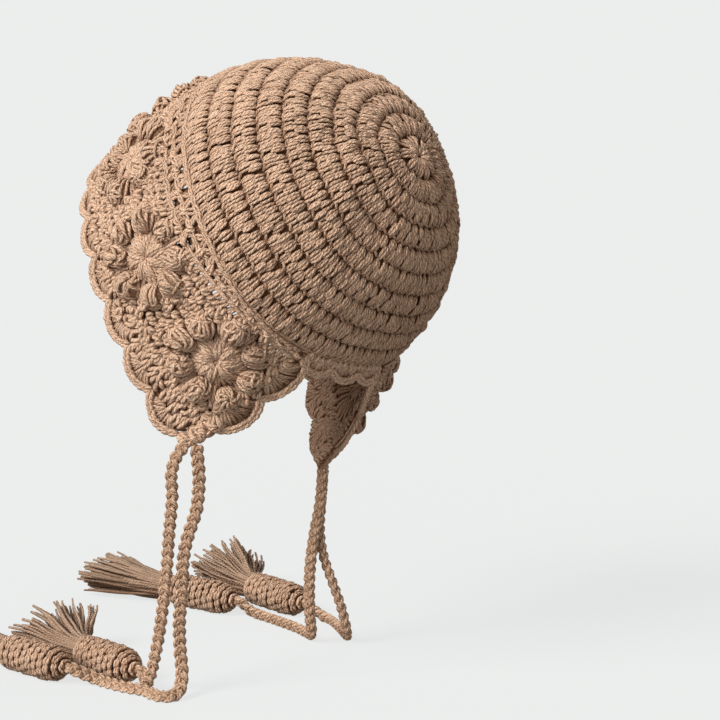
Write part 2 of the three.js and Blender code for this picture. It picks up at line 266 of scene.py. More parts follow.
def surfaceStrands(skein, surface, spot, height, radius, inner=False, least=0.25, sunk=1.0):
    # strands given by places (n, k, 2) on a surface and heights (n, k) over it: low ones are painted
    # darker, a painted shade down to the least; inner ones face the other way and get an even painted
    # shade
    points = fromHat(surface(spot[..., 0], spot[..., 1], height))
    outs = unit(fromHat(surface(spot[..., 0], spot[..., 1], height + mm)) - points)
    # painted shade: the lower the strand lies over the surface, the darker
    rise = least + (1 - least) * smoothStep((height + 3.3 * mm) / (2.4 * mm))
    if inner:
        outs = -outs
        # an even painted shade on the inner face
        rise = 0.68
    addStrands(skein, points, outs, radius, rise=rise, sunk=sunk)


def addSolid(skein, grid, length, depth):
    # tubes of rings (n, k, s, 3), each end closed by a point in its middle; the rings are turned
    # round where the sum of face middle times face normal says that the faces look inwards
    nxt = np.roll(grid, -1, axis=2)
    middle = grid.reshape(len(grid), -1, 3).mean(axis=1)[:, None, None]
    normal = np.cross(nxt[:, :-1] - grid[:, :-1], grid[:, 1:] - grid[:, :-1])
    volume = ((grid[:, :-1] - middle) * normal).sum(axis=(1, 2, 3))
    if volume.sum() < 0:
        grid = grid[:, :, ::-1]
    starts = grid[:, 0].mean(axis=1)
    ends = grid[:, -1].mean(axis=1)
    addTubes(skein, grid, length, dice.random(len(grid)), depth, starts, ends)


def makePiece(name, skein, material, *replaced, slotName="hat_yarn"):
    # arrays of points, faces and corner values put straight into a mesh
    mesh = bpy.data.meshes.new(name)
    points = np.concatenate(skein["points"]).astype(np.float32)
    sizes = np.concatenate([np.full(len(f), f.shape[1]) for f in skein["faces"]])
    corners = np.concatenate([f.reshape(-1) for f in skein["faces"]])
    mesh.vertices.add(len(points))
    mesh.vertices.foreach_set("co", points.reshape(-1))
    mesh.loops.add(len(corners))
    mesh.loops.foreach_set("vertex_index", corners.astype(np.int32))
    mesh.polygons.add(len(sizes))
    starts = np.concatenate([[0], np.cumsum(sizes)[:-1]]).astype(np.int32)
    mesh.polygons.foreach_set("loop_start", starts)
    mesh.polygons.foreach_set("use_smooth", np.full(len(sizes), True))
    mesh.update(calc_edges=True)
    uv = mesh.uv_layers.new(name="yarn")
    uv.data.foreach_set("uv", np.concatenate(skein["uvs"]).astype(np.float32).reshape(-1))
    # tone is a random tone for each strand; depth carries the painted shade
    for key in ("tone", "depth"):
        attribute = mesh.attributes.new(key, "FLOAT", "POINT")
        attribute.data.foreach_set("value", np.concatenate(skein[key + "s"]).astype(np.float32))
    mesh.materials.append(material)
    piece = addObject(name, mesh)
    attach(piece, "root")
    if replaced:
        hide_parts(*replaced)
    counts[name] = int((sizes - 2).sum())
    print(name, counts[name], "triangles")
    return piece


counts = {}


# materials
# each kind's light and dark colour, the colour that low places and the strands' hidden sides are
# multiplied by as painted shade, and millimetres along the yarn from one groove of its plies to the next.
# The front and inner kinds are the hat's yarn made darker as painted shade: the front one for the dense
# flowers and shells, the inner one for the crown's lining
yarnLook = {
    "hat": ((0.93, 0.645, 0.465), (0.24, 0.13, 0.066), (0.26, 0.155, 0.085), 2.4),
    "front": ((0.85, 0.59, 0.425), (0.23, 0.125, 0.063), (0.24, 0.14, 0.077), 2.4),
    "thimble": ((0.82, 0.565, 0.405), (0.23, 0.126, 0.066), (0.26, 0.155, 0.085), 2.2),
    "tie": ((0.82, 0.565, 0.40), (0.23, 0.125, 0.063), (0.26, 0.155, 0.085), 2.2),
    "fringe": ((0.65, 0.46, 0.335), (0.20, 0.113, 0.063), (0.28, 0.17, 0.10), 2.0),
    "inner": ((0.80, 0.56, 0.41), (0.24, 0.135, 0.07), (0.20, 0.115, 0.06), 2.6),
}
yarnSurface = {
    "Roughness": 0.9,
    "Specular IOR Level": 0.08,
    "Sheen Weight": 0.04,
    "Sheen Roughness": 0.5,
    "Sheen Tint": (1.0, 0.88, 0.78, 1),
}
yarnBump = {"Strength": 1.0, "Distance": 0.55 * mm}


def setInputs(node, values):
    # sockets by their names
    for key, value in values.items():
        node.inputs[key].default_value = value


def addNode(tree, kind, inputs=(), **values):
    # a node with its sockets' values and its own settings
    node = tree.nodes.new(kind)
    for key, value in values.items():
        setattr(node, key, value)
    setInputs(node, dict(inputs))
    return node


def mathNode(tree, operation, first, second=0.0):
    # each input is a number or a socket
    node = addNode(tree, "ShaderNodeMath", operation=operation)
    for i, value in enumerate((first, second)):
        if isinstance(value, (int, float)):
            node.inputs[i].default_value = value
        else:
            tree.links.new(value, node.inputs[i])
    return node.outputs[0]


def weightedSum(tree, terms, total=0.0):
    # a total and each socket times its weight
    for socket, weight in terms:
        total = mathNode(tree, "ADD", mathNode(tree, "MULTIPLY", socket, weight), total)
    return total


def noiseNode(tree, vector, scale, detail):
    # noise that varies scale times in each unit of the vector
    node = addNode(tree, "ShaderNodeTexNoise", {"Scale": scale, "Detail": detail})
    tree.links.new(vector, node.inputs["Vector"])
    return node.outputs[0]


def rampNode(tree, value, *stops):
    # from one colour to the other between two places of the value
    node = addNode(tree, "ShaderNodeValToRGB")
    for element, (position, colour) in zip(node.color_ramp.elements, stops):
        element.position = position
        element.color = (*colour, 1)
    tree.links.new(value, node.inputs[0])
    return node.outputs[0]


def yarnMaterial(kind):
    # three plies wind round the strand: their grooves are where the sine of length and turn is 0, and the
    # colour is darker in them, a painted shade. fibres are noise drawn out along the plies; colour wanders
    # over the piece and from strand to strand, and is darker where depth is low: painted shade on the
    # strands' hidden sides, on low strands and on the plates behind them
    light, dark, paintedShadeColour, plyStep = yarnLook[kind]
    material = bpy.data.materials.new(f"tan_{kind}_yarn")
    material.use_nodes = True
    tree = material.node_tree
    link = tree.links.new
    shader = tree.nodes["Principled BSDF"]
    setInputs(shader, yarnSurface)
    uv = addNode(tree, "ShaderNodeUVMap", uv_map="yarn")
    parts = addNode(tree, "ShaderNodeSeparateXYZ")
    link(uv.outputs[0], parts.inputs[0])
    place = addNode(tree, "ShaderNodeTexCoord").outputs["Object"]
    tone = addNode(tree, "ShaderNodeAttribute", attribute_name="tone").outputs["Fac"]
    depth = addNode(tree, "ShaderNodeAttribute", attribute_name="depth").outputs["Fac"]
    along = mathNode(tree, "MULTIPLY", parts.outputs[0], math.pi / (plyStep * mm))
    turn = mathNode(tree, "MULTIPLY", parts.outputs[1], 3 * math.pi)
    phase = mathNode(tree, "ADD", along, turn)
    groove = mathNode(tree, "ABSOLUTE", mathNode(tree, "SINE", phase))
    ridge = mathNode(tree, "POWER", groove, 0.6)
    drawn = addNode(tree, "ShaderNodeCombineXYZ")
    for i, (socket, stretch) in enumerate(((parts.outputs[0], 420.0), (phase, 1.5), (tone, 40.0))):
        link(mathNode(tree, "MULTIPLY", socket, stretch), drawn.inputs[i])
    fibre = noiseNode(tree, drawn.outputs[0], 1.0, 3.0)
    speck = noiseNode(tree, place, 1500.0, 3.0)
    wander = noiseNode(tree, place, 38.0, 2.0)
    # shade from about 0 to 1; the ridge term paints shade into the grooves between the plies
    terms = ((ridge, 0.30), (fibre, 1.05), (speck, 1.15), (wander, 0.25), (tone, 0.16))
    shade = weightedSum(tree, terms, -0.85)
    both = addNode(tree, "ShaderNodeMix", {"Factor": 1.0}, data_type="RGBA", blend_type="MULTIPLY")
    link(rampNode(tree, shade, (0.18, dark), (0.85, light)), both.inputs["A"])
    # painted shade: the colour is multiplied towards the shade colour where depth is low
    link(rampNode(tree, depth, (0.18, paintedShadeColour), (0.95, (1, 1, 1))), both.inputs["B"])
    link(both.outputs["Result"], shader.inputs["Base Color"])
    bump = addNode(tree, "ShaderNodeBump", yarnBump)
    link(weightedSum(tree, ((ridge, 0.75), (fibre, 0.8), (speck, 0.6))), bump.inputs["Height"])
    link(bump.outputs[0], shader.inputs["Normal"])
    return material


hatYarn, frontYarnPaintedShade, thimbleYarn, tieYarn, fringeYarn, innerYarnPaintedShade = map(yarnMaterial, yarnLook)
print("materials made")


# camera
shot = {
    "azimuth": 120.2 * deg,
    "elevation": 9 * deg,
    "distance": 1150 * mm,
    "lens": 115,
    "right": 36 * mm,            # the aim, measured across and down from the origin
    "down": 64.5 * mm,
}


def aimCamera():
    # stands back from the aim along the direction that azimuth and elevation give; returns the
    # picture's right and up and the way back to the camera
    right = Vector((math.cos(shot["azimuth"]), math.sin(shot["azimuth"]), 0))
    flatBack = Vector((math.sin(shot["azimuth"]), -math.cos(shot["azimuth"]), 0))
    back = flatBack * math.cos(shot["elevation"]) + Vector((0, 0, math.sin(shot["elevation"])))
    up = back.cross(right)
    aim = right * shot["right"] - up * shot["down"]
    data = bpy.data.cameras.new("camera")
    data.lens = shot["lens"]
    data.sensor_width = 36
    camera = addObject("camera", data)
    camera.location = aim + back * shot["distance"]
    camera.rotation_euler = back.to_track_quat("Z", "Y").to_euler()
    bpy.context.scene.camera = camera
    return right, up, back


cameraRight, cameraUp, cameraBack = aimCamera()


# ties
floorLevel = -221 * mm
cap = {
    "length": 42 * mm,
    "radius": 8.75 * mm,
    "mouth": 8.4 * mm,           # radius at its open end
    "dome": 12 * mm,             # how long the rounded tip is
    "narrows": 28 * mm,          # where it starts to narrow
}
# each tassel: its cap's tip and heading; its fringe lies fanned out on the floor, from the first
# to the last angle off that heading, with its middle puffed up by the raised angle
tassels = {
    "left_front": {
        "tip": (79.4, -40.1), "heading": 162.5, "first": -17, "last": 42, "raised": 18, "length": 44,
    },
    "left_back": {
        "tip": (93.5, -72.4), "heading": 169, "first": -13, "last": 14, "raised": 6, "length": 58,
    },
    "right_front": {
        "tip": (-54.7, -70), "heading": 173.4, "first": -12, "last": 14, "raised": 6, "length": 58,
    },
    "right_back": {
        "tip": (-69.5, -35.1), "heading": 160.7, "first": -17, "last": 42, "raised": 20, "length": 44,
    },
}
# millimetres, from the tie corner down to the cap
cordRoutes = {
    "left_front": [
        (76.8, -11.3, -97.3), (78.9, -14.4, -102.4), (80.3, -16.7, -111), (80.2, -16.4, -121),
        (80.6, -17.1, -131), (81.1, -18.1, -142), (81.5, -18.8, -153), (82.1, -20, -167),
        (82.8, -21.2, -178), (83.8, -23, -192), (83.8, -25.6, -203), (83, -28.6, -212),
        (82.3, -31.4, -216.6),
    ],
    "left_back": [
        (74, -6.1, -97.6), (74.3, -5.4, -104), (74, -4.9, -112), (74.2, -5.2, -120),
        (74.7, -6.2, -129), (76, -8.5, -137), (77.3, -10.9, -146), (78, -12.3, -157),
        (78.3, -12.9, -170), (78.9, -14, -184), (78.9, -13.8, -199), (81, -11.5, -211),
        (87, -10, -217.6), (93, -12.5, -218.4), (93.5, -19, -218.4), (90, -27, -218.4),
        (90.3, -35, -218.4), (89.5, -46, -218.4), (88, -57, -217.6),
    ],
    "right_front": [
        (-27, 3.8, -124.9), (-27.4, 2.8, -135), (-27.2, 1.6, -146), (-25.8, -0.9, -161),
        (-24.8, -2.8, -177), (-25, -3.6, -192), (-26.6, -4.2, -205), (-30.3, -5.8, -215),
        (-36, -11.6, -218.4), (-41.2, -19.6, -218.4), (-45.6, -29, -218.4), (-49.5, -39, -218.4),
        (-53.5, -50, -218.4), (-55.2, -60, -216.6),
    ],
    "right_back": [
        (-32, 1, -123.6), (-32.4, 0, -135), (-32.2, -0.8, -147), (-31.5, -1, -160),
        (-31, 1.5, -173), (-32, 6, -186), (-34, 10, -199), (-37, 11.5, -211),
        (-42.5, 8.5, -217.7), (-50, 1.5, -218.4), (-58.5, -7, -218.4), (-65.5, -15, -218.4),
        (-68.4, -23, -217),
    ],
}
tie = {
    "diameter": 5.2 * mm,
    "straight": 4 * mm,          # its end lies in line with the cap
    "capGap": 0.4 * mm,
    "step": 1.1 * mm,
    "strands": 3,
    "pitch": 14.4 * mm,          # length of one whole weave of the braid
    "wide": 1.6 * mm,            # how far the strands swing across
    "thick": 0.95 * mm,          # and up and down
    "pair": 0.62 * mm,           # each strand is two yarns, this far to either side
    "yarn": 1.27 * mm,
}


def capFrame(name):
    # a cap's tip and the directions to its side, ahead along it and up
    a = tassels[name]["heading"] * deg
    tip = np.array([*tassels[name]["tip"], 0.0]) * mm
    tip[2] = floorLevel + cap["radius"]
    side = np.array([math.cos(a), math.sin(a), 0])
    return tip, side, np.array([-math.sin(a), math.cos(a), 0]), np.array([0.0, 0.0, 1.0])


def keepAbove(points, least):
    # nothing goes through the floor
    points[..., 2] = np.maximum(points[..., 2], floorLevel + least)


def smoothPath(points, step):
    # a centripetal Catmull-Rom curve: each stretch is blended from the lines through four points,
    # with knots set by the square roots of their distances
    p = np.concatenate([[2 * points[0] - points[1]], points, [2 * points[-1] - points[-2]]])
    knot = np.concatenate([[0], np.cumsum(np.linalg.norm(np.diff(p, axis=0), axis=1) ** 0.5)])
    pieces = []
    for i in range(1, len(p) - 2):
        t = np.linspace(knot[i], knot[i + 1], 12, endpoint=False)[:, None]

        def blend(a, b, first, last):
            # from a at the first knot to b at the last
            return ((knot[last] - t) * a + (t - knot[first]) * b) / (knot[last] - knot[first])

        lines = [blend(p[j], p[j + 1], j, j + 1) for j in (i - 1, i, i + 1)]
        before = blend(lines[0], lines[1], i - 1, i + 1)
        after = blend(lines[1], lines[2], i, i + 2)
        pieces.append(blend(before, after, i, i + 1))
    fine = np.concatenate(pieces + [p[-2:-1]])
    length = np.concatenate([[0], np.cumsum(np.linalg.norm(np.diff(fine, axis=0), axis=1))])
    at = np.linspace(0, length[-1], int(round(length[-1] / step)) + 1)
    return np.stack([np.interp(at, length, fine[:, i]) for i in range(3)], -1), length[-1]


def steadySide(tangent):
    # of many directions spread over a ball, one that no stretch of the path runs along, and
    # rather towards the camera, so that the braid's flat side is seen
    i = np.arange(400) + 0.5
    height = 1 - 2 * i / 400
    ring = np.sqrt(1 - height ** 2)
    turn = i * math.pi * (1 + 5 ** 0.5)
    tries = np.stack([ring * np.cos(turn), ring * np.sin(turn), height], -1)
    worst = np.abs(tries @ tangent.T).max(axis=1) - 0.3 * np.abs(tries @ np.array(cameraBack))
    return tries[worst.argmin()]


def makeTie(name):
    # the braid's strands swing across as a sine and up as one of twice the speed, a third of a
    # weave apart, and close up where the cap starts
    tip, ahead = capFrame(name)[::2]
    lastStops = tip - np.array([[tie["straight"]], [tie["capGap"]]]) * ahead
    path, length = smoothPath(np.concatenate([np.array(cordRoutes[name]) * mm, lastStops]), tie["step"])
    tangent = unit(np.gradient(path, axis=0))
    across = unit(np.cross(tangent, steadySide(tangent)))
    up = np.cross(across, tangent)
    walk = np.linspace(0, length, len(path))
    phase = 2 * math.pi * walk / tie["pitch"]
    strand = 2 * math.pi * np.arange(tie["strands"])[:, None] / tie["strands"]
    weave = phase[None] + strand
    close = np.minimum(1, (length - walk) / tie["straight"] + 0.35)
    wide = tie["wide"] * np.sin(weave) * close
    thick = tie["thick"] * np.sin(2 * weave) * close
    points = path[None] + wide[..., None] * across[None] + thick[..., None] * up[None]
    beside = unit(np.cross(np.gradient(points, axis=1), up[None])) * (tie["pair"] * close)[:, None]
    points = np.concatenate([points - beside, points + beside])
    away = np.linalg.norm(points - path[None], axis=-1)
    keepAbove(points, tie["yarn"])
    outs = unit(points - path[None] + 0.01 * mm * up[None])
    # painted shade: yarns nearer the braid's middle, where the strands cross, are darker, and their hidden
    # sides less dark than usual
    rise = np.clip(0.42 + 0.58 * away / tie["wide"], 0, 1)
    skein = newSkein()
    addStrands(skein, points, outs, tie["yarn"], sunk=0.75, rise=rise)
    piece = makePiece("braid_" + name, skein, tieYarn, "cord_" + name, slotName="tie_yarn")
    return piece, path, length


ties = {name: makeTie(name) for name in tassels}
print("ties made")


# tassels
thimble = {"rows": 11, "link": 4.7 * mm, "yarn": 1.12 * mm, "lip": 1.3 * mm, "wall": -2.3 * mm}
fringe = {
    "strands": 170,
    "clumps": 17,
    "yarn": 0.88 * mm,
    "steps": 11,
    "inside": 8 * mm,            # how far it reaches into the cap
    "neck": 6.6 * mm,            # radius of its bundle there
    "spread": 6.2 * mm,
}


def capRadius(s):
    # a quarter ellipse for the dome, then a plain side that narrows a little at the mouth
    dome = np.clip(1 - s / cap["dome"], 0, 1)
    ball = cap["radius"] * np.sqrt(1 - dome ** 2)
    far = smoothStep((s - cap["narrows"]) / (cap["length"] - cap["narrows"]))
    return np.where(s < cap["dome"], ball, mix(cap["radius"], cap["mouth"], far))


def makeCap(name):
    # rows of chain round the cap, evenly along its profile, each link two short strands that
    # open and close
    tip, side, ahead, up = capFrame(name)

    def around(s, turn, radius):
        # places on rings round the axis, and the way that they face
        ring = np.cos(turn)[..., None] * side + np.sin(turn)[..., None] * up
        return tip + s[..., None] * ahead + radius[..., None] * ring, ring

    skein = newSkein()
    rows = thimble["rows"]
    fine = np.linspace(0, cap["length"], 200)
    profile = np.concatenate([[0], np.cumsum(np.hypot(np.diff(fine), np.diff(capRadius(fine))))])
    t = np.linspace(0, 1, 5)[None]
    arc = hump(t, 0.02)
    for row in range(rows):
        middle = profile[-1] * (row + 0.6) / rows
        girth = 2 * math.pi * float(capRadius(np.interp(middle, profile, fine)))
        n = max(5, int(round(girth / thimble["link"])))
        index = np.arange(n)[:, None] + 0.4 * row
        wobble = jitter(0.22 * mm, n, 1)
        for leg in (-1, 1):
            turn = 2 * math.pi / n * (index + mix(-0.3, 1.2, t) + jitter(0.05, n, 1))
            s = middle + wobble + leg * 0.85 * mm * arc ** 0.6 + 0.7 * mm * (t - 0.5)
            s = np.clip(np.interp(s, profile, fine), 0.3 * mm, cap["length"] - 0.2 * mm)
            height = -1.2 * mm + 1.0 * mm * (arc - 0.4 + 0.4 * t) + jitter(0.15 * mm, n, 1)
            thick = thimble["yarn"] * (0.75 + 0.25 * arc)
            # painted shade: each link is darker towards its ends, where it dips under
            addStrands(skein, *around(s, turn, capRadius(s) + height), thick, rise=0.3 + 0.7 * arc)
    # a rolled lip at the mouth and a small ring at the tip
    q = np.linspace(-0.15, 1.15, 6)[None]
    mouthEnd = cap["length"] - 0.8 * mm
    for s, radius, links in ((mouthEnd, cap["mouth"] - 1.3 * mm, 12), (0.8 * mm, 2.4 * mm, 5)):
        turn = 2 * math.pi / links * (np.arange(links)[:, None] + q)
        slide = s + 0.5 * mm * (q - 0.5)
        rise = radius + 0.45 * mm * np.sin(math.pi * q)
        addStrands(skein, *around(slide, turn, rise), thimble["lip"])
    # the wall behind the stitches, drawn in at the tip and painted dark as shade between the stitches
    s = np.linspace(0.5 * mm, cap["length"] - 1 * mm, 12)[:, None] + np.zeros(16)
    turn = 2 * math.pi * np.arange(16) / 16
    radius = (capRadius(s) + thimble["wall"]) * np.where(capRadius(s) > 3 * mm, 1, 0.3)
    addSolid(skein, around(s, turn, radius)[0][None], s[None, :, 0], 0.35)
    for points in skein["points"]:
        keepAbove(points, 0.05 * mm)
    return makePiece("thimble_" + name, skein, thimbleYarn, "tassel_cap_" + name)


def makeFringe(name):
    # strands in clumps leave the mouth along the cap's axis, turn within their first third
    # towards their own place in the fan, and run on nearly straight with a slow wave
    tip, side, ahead, up = capFrame(name)
    tassel = tassels[name]
    n = fringe["strands"]
    inside = fringe["inside"]
    length = tassel["length"] * mm * (0.97 + 0.05 * np.clip(jitter(1, n, 1), -2.4, 0.8))
    t = np.linspace(0, 1, fringe["steps"])[None]
    walk = mix(-inside, length, t)
    share = np.clip(walk / length, 0, 1)
    place = np.sort(dice.random((n, 1)), axis=0)
    clump = (place * fringe["clumps"]).astype(int)
    own = dice.standard_normal((fringe["clumps"] + 1, 4))[clump[:, 0]]
    layer = dice.random((n, 1)) ** 0.8
    heading = mix(tassel["first"], tassel["last"], place) + 2.2 * own[:, :1] + jitter(2, n, 1)
    puff = np.sin(math.pi * mix(0.1, 0.82, place))
    raised = (tassel["raised"] * puff + 3 * own[:, 1:2]) * (2 * layer - 0.6) + jitter(2, n, 1)
    bend = heading * deg * smoothStep(share / 0.36)
    climb = raised * deg * smoothStep(share / 0.4) * (1 - 0.35 * share)
    step = np.diff(walk, axis=1)
    bend = (bend[:, 1:] + bend[:, :-1]) / 2
    climb = (climb[:, 1:] + climb[:, :-1]) / 2
    level = np.cos(bend)[..., None] * ahead + np.sin(bend)[..., None] * side
    way = np.cos(climb)[..., None] * level + np.sin(climb)[..., None] * up
    path = np.concatenate([np.zeros((n, 1, 3)), np.cumsum(way * step[..., None], axis=1)], axis=1)
    # where the strand starts in the mouth
    across = (2 * place - 1) * fringe["spread"]
    high = np.sqrt(fringe["neck"] ** 2 - across ** 2) * (2 * layer - 1)
    start = tip + (cap["length"] - inside) * ahead + across * side + high * up
    points = start[:, None] + path
    phase = 2 * own[:, 2:3] + 0.8 * dice.random((n, 1))
    wave = share * np.sin(7 * share + phase)
    points = points + (1.5 * mm * wave)[..., None] * side
    points = points + (0.8 * mm * share * np.cos(6 * share + 2 * own[:, 3:4]))[..., None] * up
    keepAbove(points, fringe["yarn"] * (1 + 1.6 * dice.random((n, 1))))
    outs = np.broadcast_to(up, points.shape)
    thin = fringe["yarn"] * (0.8 + 0.4 * dice.random((n, 1))) * (1 - 0.3 * share ** 3)
    # painted shade: the lower layers of the bundle and the parts near the mouth are darker, and each
    # strand's hidden side gets half the usual painted shade
    rise = 0.5 + 0.5 * layer * (0.6 + 0.4 * share)
    skein = newSkein()
    addStrands(skein, points, outs, thin, sunk=0.5, rise=rise, sides=4)
    return makePiece("fringe_" + name, skein, fringeYarn, "tassel_skirt_" + name, slotName="fringe_yarn")


for name, (piece, path, length) in ties.items():
    thimblePiece = makeCap(name)
    fringePiece = makeFringe(name)
print("tassels made")


# crown
crown = {
    "rows": 10,
    "pitch": 5.3 * mm,
    "yarn": 0.93 * mm,
    "low": -2.45 * mm,           # height of a row's edges over the surface
    "high": -0.9 * mm,           # and of its middle
    "footLow": -2.75 * mm,       # height of the ends of the short threads between two rows
    "footYarn": 0.85 * mm,
    "back": -3.1 * mm,           # height of the even face behind the posts
    "inner": -3.9 * mm,          # and of the grooves inside
    "innerPosts": 100,           # ridges round the inside
}


def rowAt(row, v, around):
    # polar angle of a place between two row lines, counted from the rim
    return rimAt(around)[0] * (1 - (row + v) / crown["rows"])


def leanAt(row, around):
    # stitches that a post leans by over a row: most on the wearer's left, where the fabric is
    # pulled, least opposite to it, and more in the first rows from the rim
    return 0.35 * np.cos(around - 60 * deg) - 0.1 + 0.35 / (row + 1)


def makeCrown():
    # rounds of stitches from the rim to the pole: each is strands side by side up a row, which
    # swell apart and rise in the middle
    lower = newSkein()
    upper = newSkein()
    t = np.linspace(0, 1, 6)[None]
    arc = hump(t, 0.03)
    for row in range(crown["rows"]):
        middle = hat["rimAngle"] * (1 - (row + 0.4) / crown["rows"])
        n = max(7, int(round(2 * math.pi * hat["headRadius"] * math.sin(middle) / crown["pitch"])))
        index = np.arange(n)[:, None] + dice.random()
        lean = leanAt(row, 2 * math.pi * index / n)
        sway = jitter(0.05, n, 1)
        last = row == crown["rows"] - 1
        # each stitch has two halves, one above the other and half a stitch aside
        halves = ((lower, 0.01, 0.57, 0.0), (upper, 0.42, 0.87 if last else 0.96, 0.42))
        for skein, v0, v1, aside in halves:
            loose = jitter(0.25 * mm, n, 1)
            for leg in (-1, 0, 1):
                v = mix(v0, v1, t) + jitter(0.03, n, 1)
                u = index + aside + sway - lean * (v - 0.5)
                u = u + leg * (0.16 + 0.14 * arc) + jitter(0.04, n, 1)
                around = 2 * math.pi * u / n
                height = mix(crown["low"], crown["high"], hump(v, 0.02) ** 0.6)
                height = height + 0.6 * mm * (arc - 0.7) + loose
                height = height + jitter(0.2 * mm, n, 1) - 0.35 * mm * abs(leg)
                spot = np.stack([rowAt(row, v, around), around], -1)
                thick = crown["yarn"] * (0.80 + 0.20 * arc)
                # low parts of these strands are painted darker as shade, down to half
                surfaceStrands(skein, crownAt, spot, height, thick, least=0.5)
        # the short thread over the foot of each stitch
        if not last:
            v = mix(0.16, -0.01, t) + jitter(0.02, n, 1)
            u = index + 0.5 + sway - lean * (v - 0.5) + mix(-0.36, 0.30, t)
            around = 2 * math.pi * u / n
            height = crown["footLow"] + 0.9 * mm * arc + jitter(0.2 * mm, n, 1)
            spot = np.stack([rowAt(row, v, around), around], -1)
            surfaceStrands(lower, crownAt, spot, height, crown["footYarn"])
    makePiece("crown_posts", lower, hatYarn, "crown")
    makePiece("crown_tops", upper, hatYarn)


def makeCrownBack():
    # behind the posts: an even face outwards, painted dark as shade in the gaps between the posts, and
    # inwards rows of small ridges, one to a stitch, painted a lighter shade
    around = -2 * math.pi * np.arange(240) / 240
    innerRows = np.linspace(0, 0.985, 49)
    outerRows = innerRows[::4]

    def sheet(rows, height):
        # a face of the crown, its height a function of the angle and the row
        g, v = np.meshgrid(around, rows)
        pole = rimAt(g)[0] * (1 - v)
        return crownAt(pole, g, height(g, v))

    def ridges(g, v):
        # a half wave for each row, and a cosine that leans with the posts
        band = np.abs(np.sin(math.pi * v * crown["rows"])) ** 0.7
        lean = 0.5 * v * crown["rows"]
        post = np.cos(g * crown["innerPosts"] + 2 * math.pi * lean)
        return crown["inner"] - 0.55 * mm * band - 0.3 * mm * post * (1 - v)

    outer = sheet(outerRows, lambda g, v: np.full(g.shape, crown["back"]))
    inner = sheet(innerRows, ridges)
    grid = fromHat(np.concatenate([outer[::-1], inner]))
    u = np.concatenate([outerRows[::-1], innerRows]) * 0.125
    skein = newSkein()
    # painted shade: the outer face dark, the inner face less so
    depth = np.where(np.arange(len(u)) < len(outerRows), 0.2, 0.7)[:, None]
    addSolid(skein, grid[None], u[None], depth)
    makePiece("crown_lining_side", skein, innerYarnPaintedShade)


# stitches in a surface's own measures, used by the strip, the lace and the edgings
stitch = {
    "pitch": 4.6 * mm,
    "knobYarn": 1.35 * mm,
    "knobPitch": 4.2 * mm,
    "low": -2.9 * mm,            # height of the stitches' ends over the surface
    "inner": -4.3 * mm,          # and of the stitches on the inner face
}


def linesBetween(start, end, way):
    # six points on each line from start to end (n, 2), and the direction square to its way
    t = np.linspace(0, 1, 6)[None]
    way = unit(way)
    across = np.stack([-way[:, 1], way[:, 0]], -1)[:, None]
    return t, start[:, None] + (end - start)[:, None] * t[..., None], across


def addPosts(skein, surface, start, end, width, heights, yarn, legs=2, **how):
    # each post is a few strands side by side from start to end (n, 2): they open in the middle
    # by width, and go through three heights
    n = len(start)
    t, line, across = linesBetween(start, end, end - start)
    swell = hump(t, 0.03)
    profile = np.interp(t[0], (0, 0.5, 1), heights)[None] + 0.25 * mm * (swell - 0.5)
    for leg in np.linspace(-1, 1, legs):
        slip = jitter(0.22 * mm, n, 1)
        spot = line + (leg * width * (0.45 + 0.55 * swell) + slip)[..., None] * across
        height = profile + jitter(0.2 * mm, n, 1)
        surfaceStrands(skein, surface, spot, height, yarn * (0.75 + 0.25 * swell), **how)


def addChain(skein, surface, stops, width, height, yarn, **how):
    # one link between each stop (m, 2) and the next: two threads that open and close again,
    # each link coming up out of the one before
    way = np.diff(stops, axis=0)
    n = len(way)
    t, line, across = linesBetween(stops[:-1] - 0.3 * way, stops[1:] + 0.25 * way, way)
    arc = hump(t, 0.02)
    for leg in (-1, 1):
        slip = jitter(0.15 * mm, n, 1)
        spot = line + (leg * width * arc ** 0.7 + slip)[..., None] * across
        rise = height + 0.6 * mm * (arc - 0.4 + 0.5 * t) + jitter(0.12 * mm, n, 1)
        surfaceStrands(skein, surface, spot, rise, yarn * (0.8 + 0.2 * arc), **how)


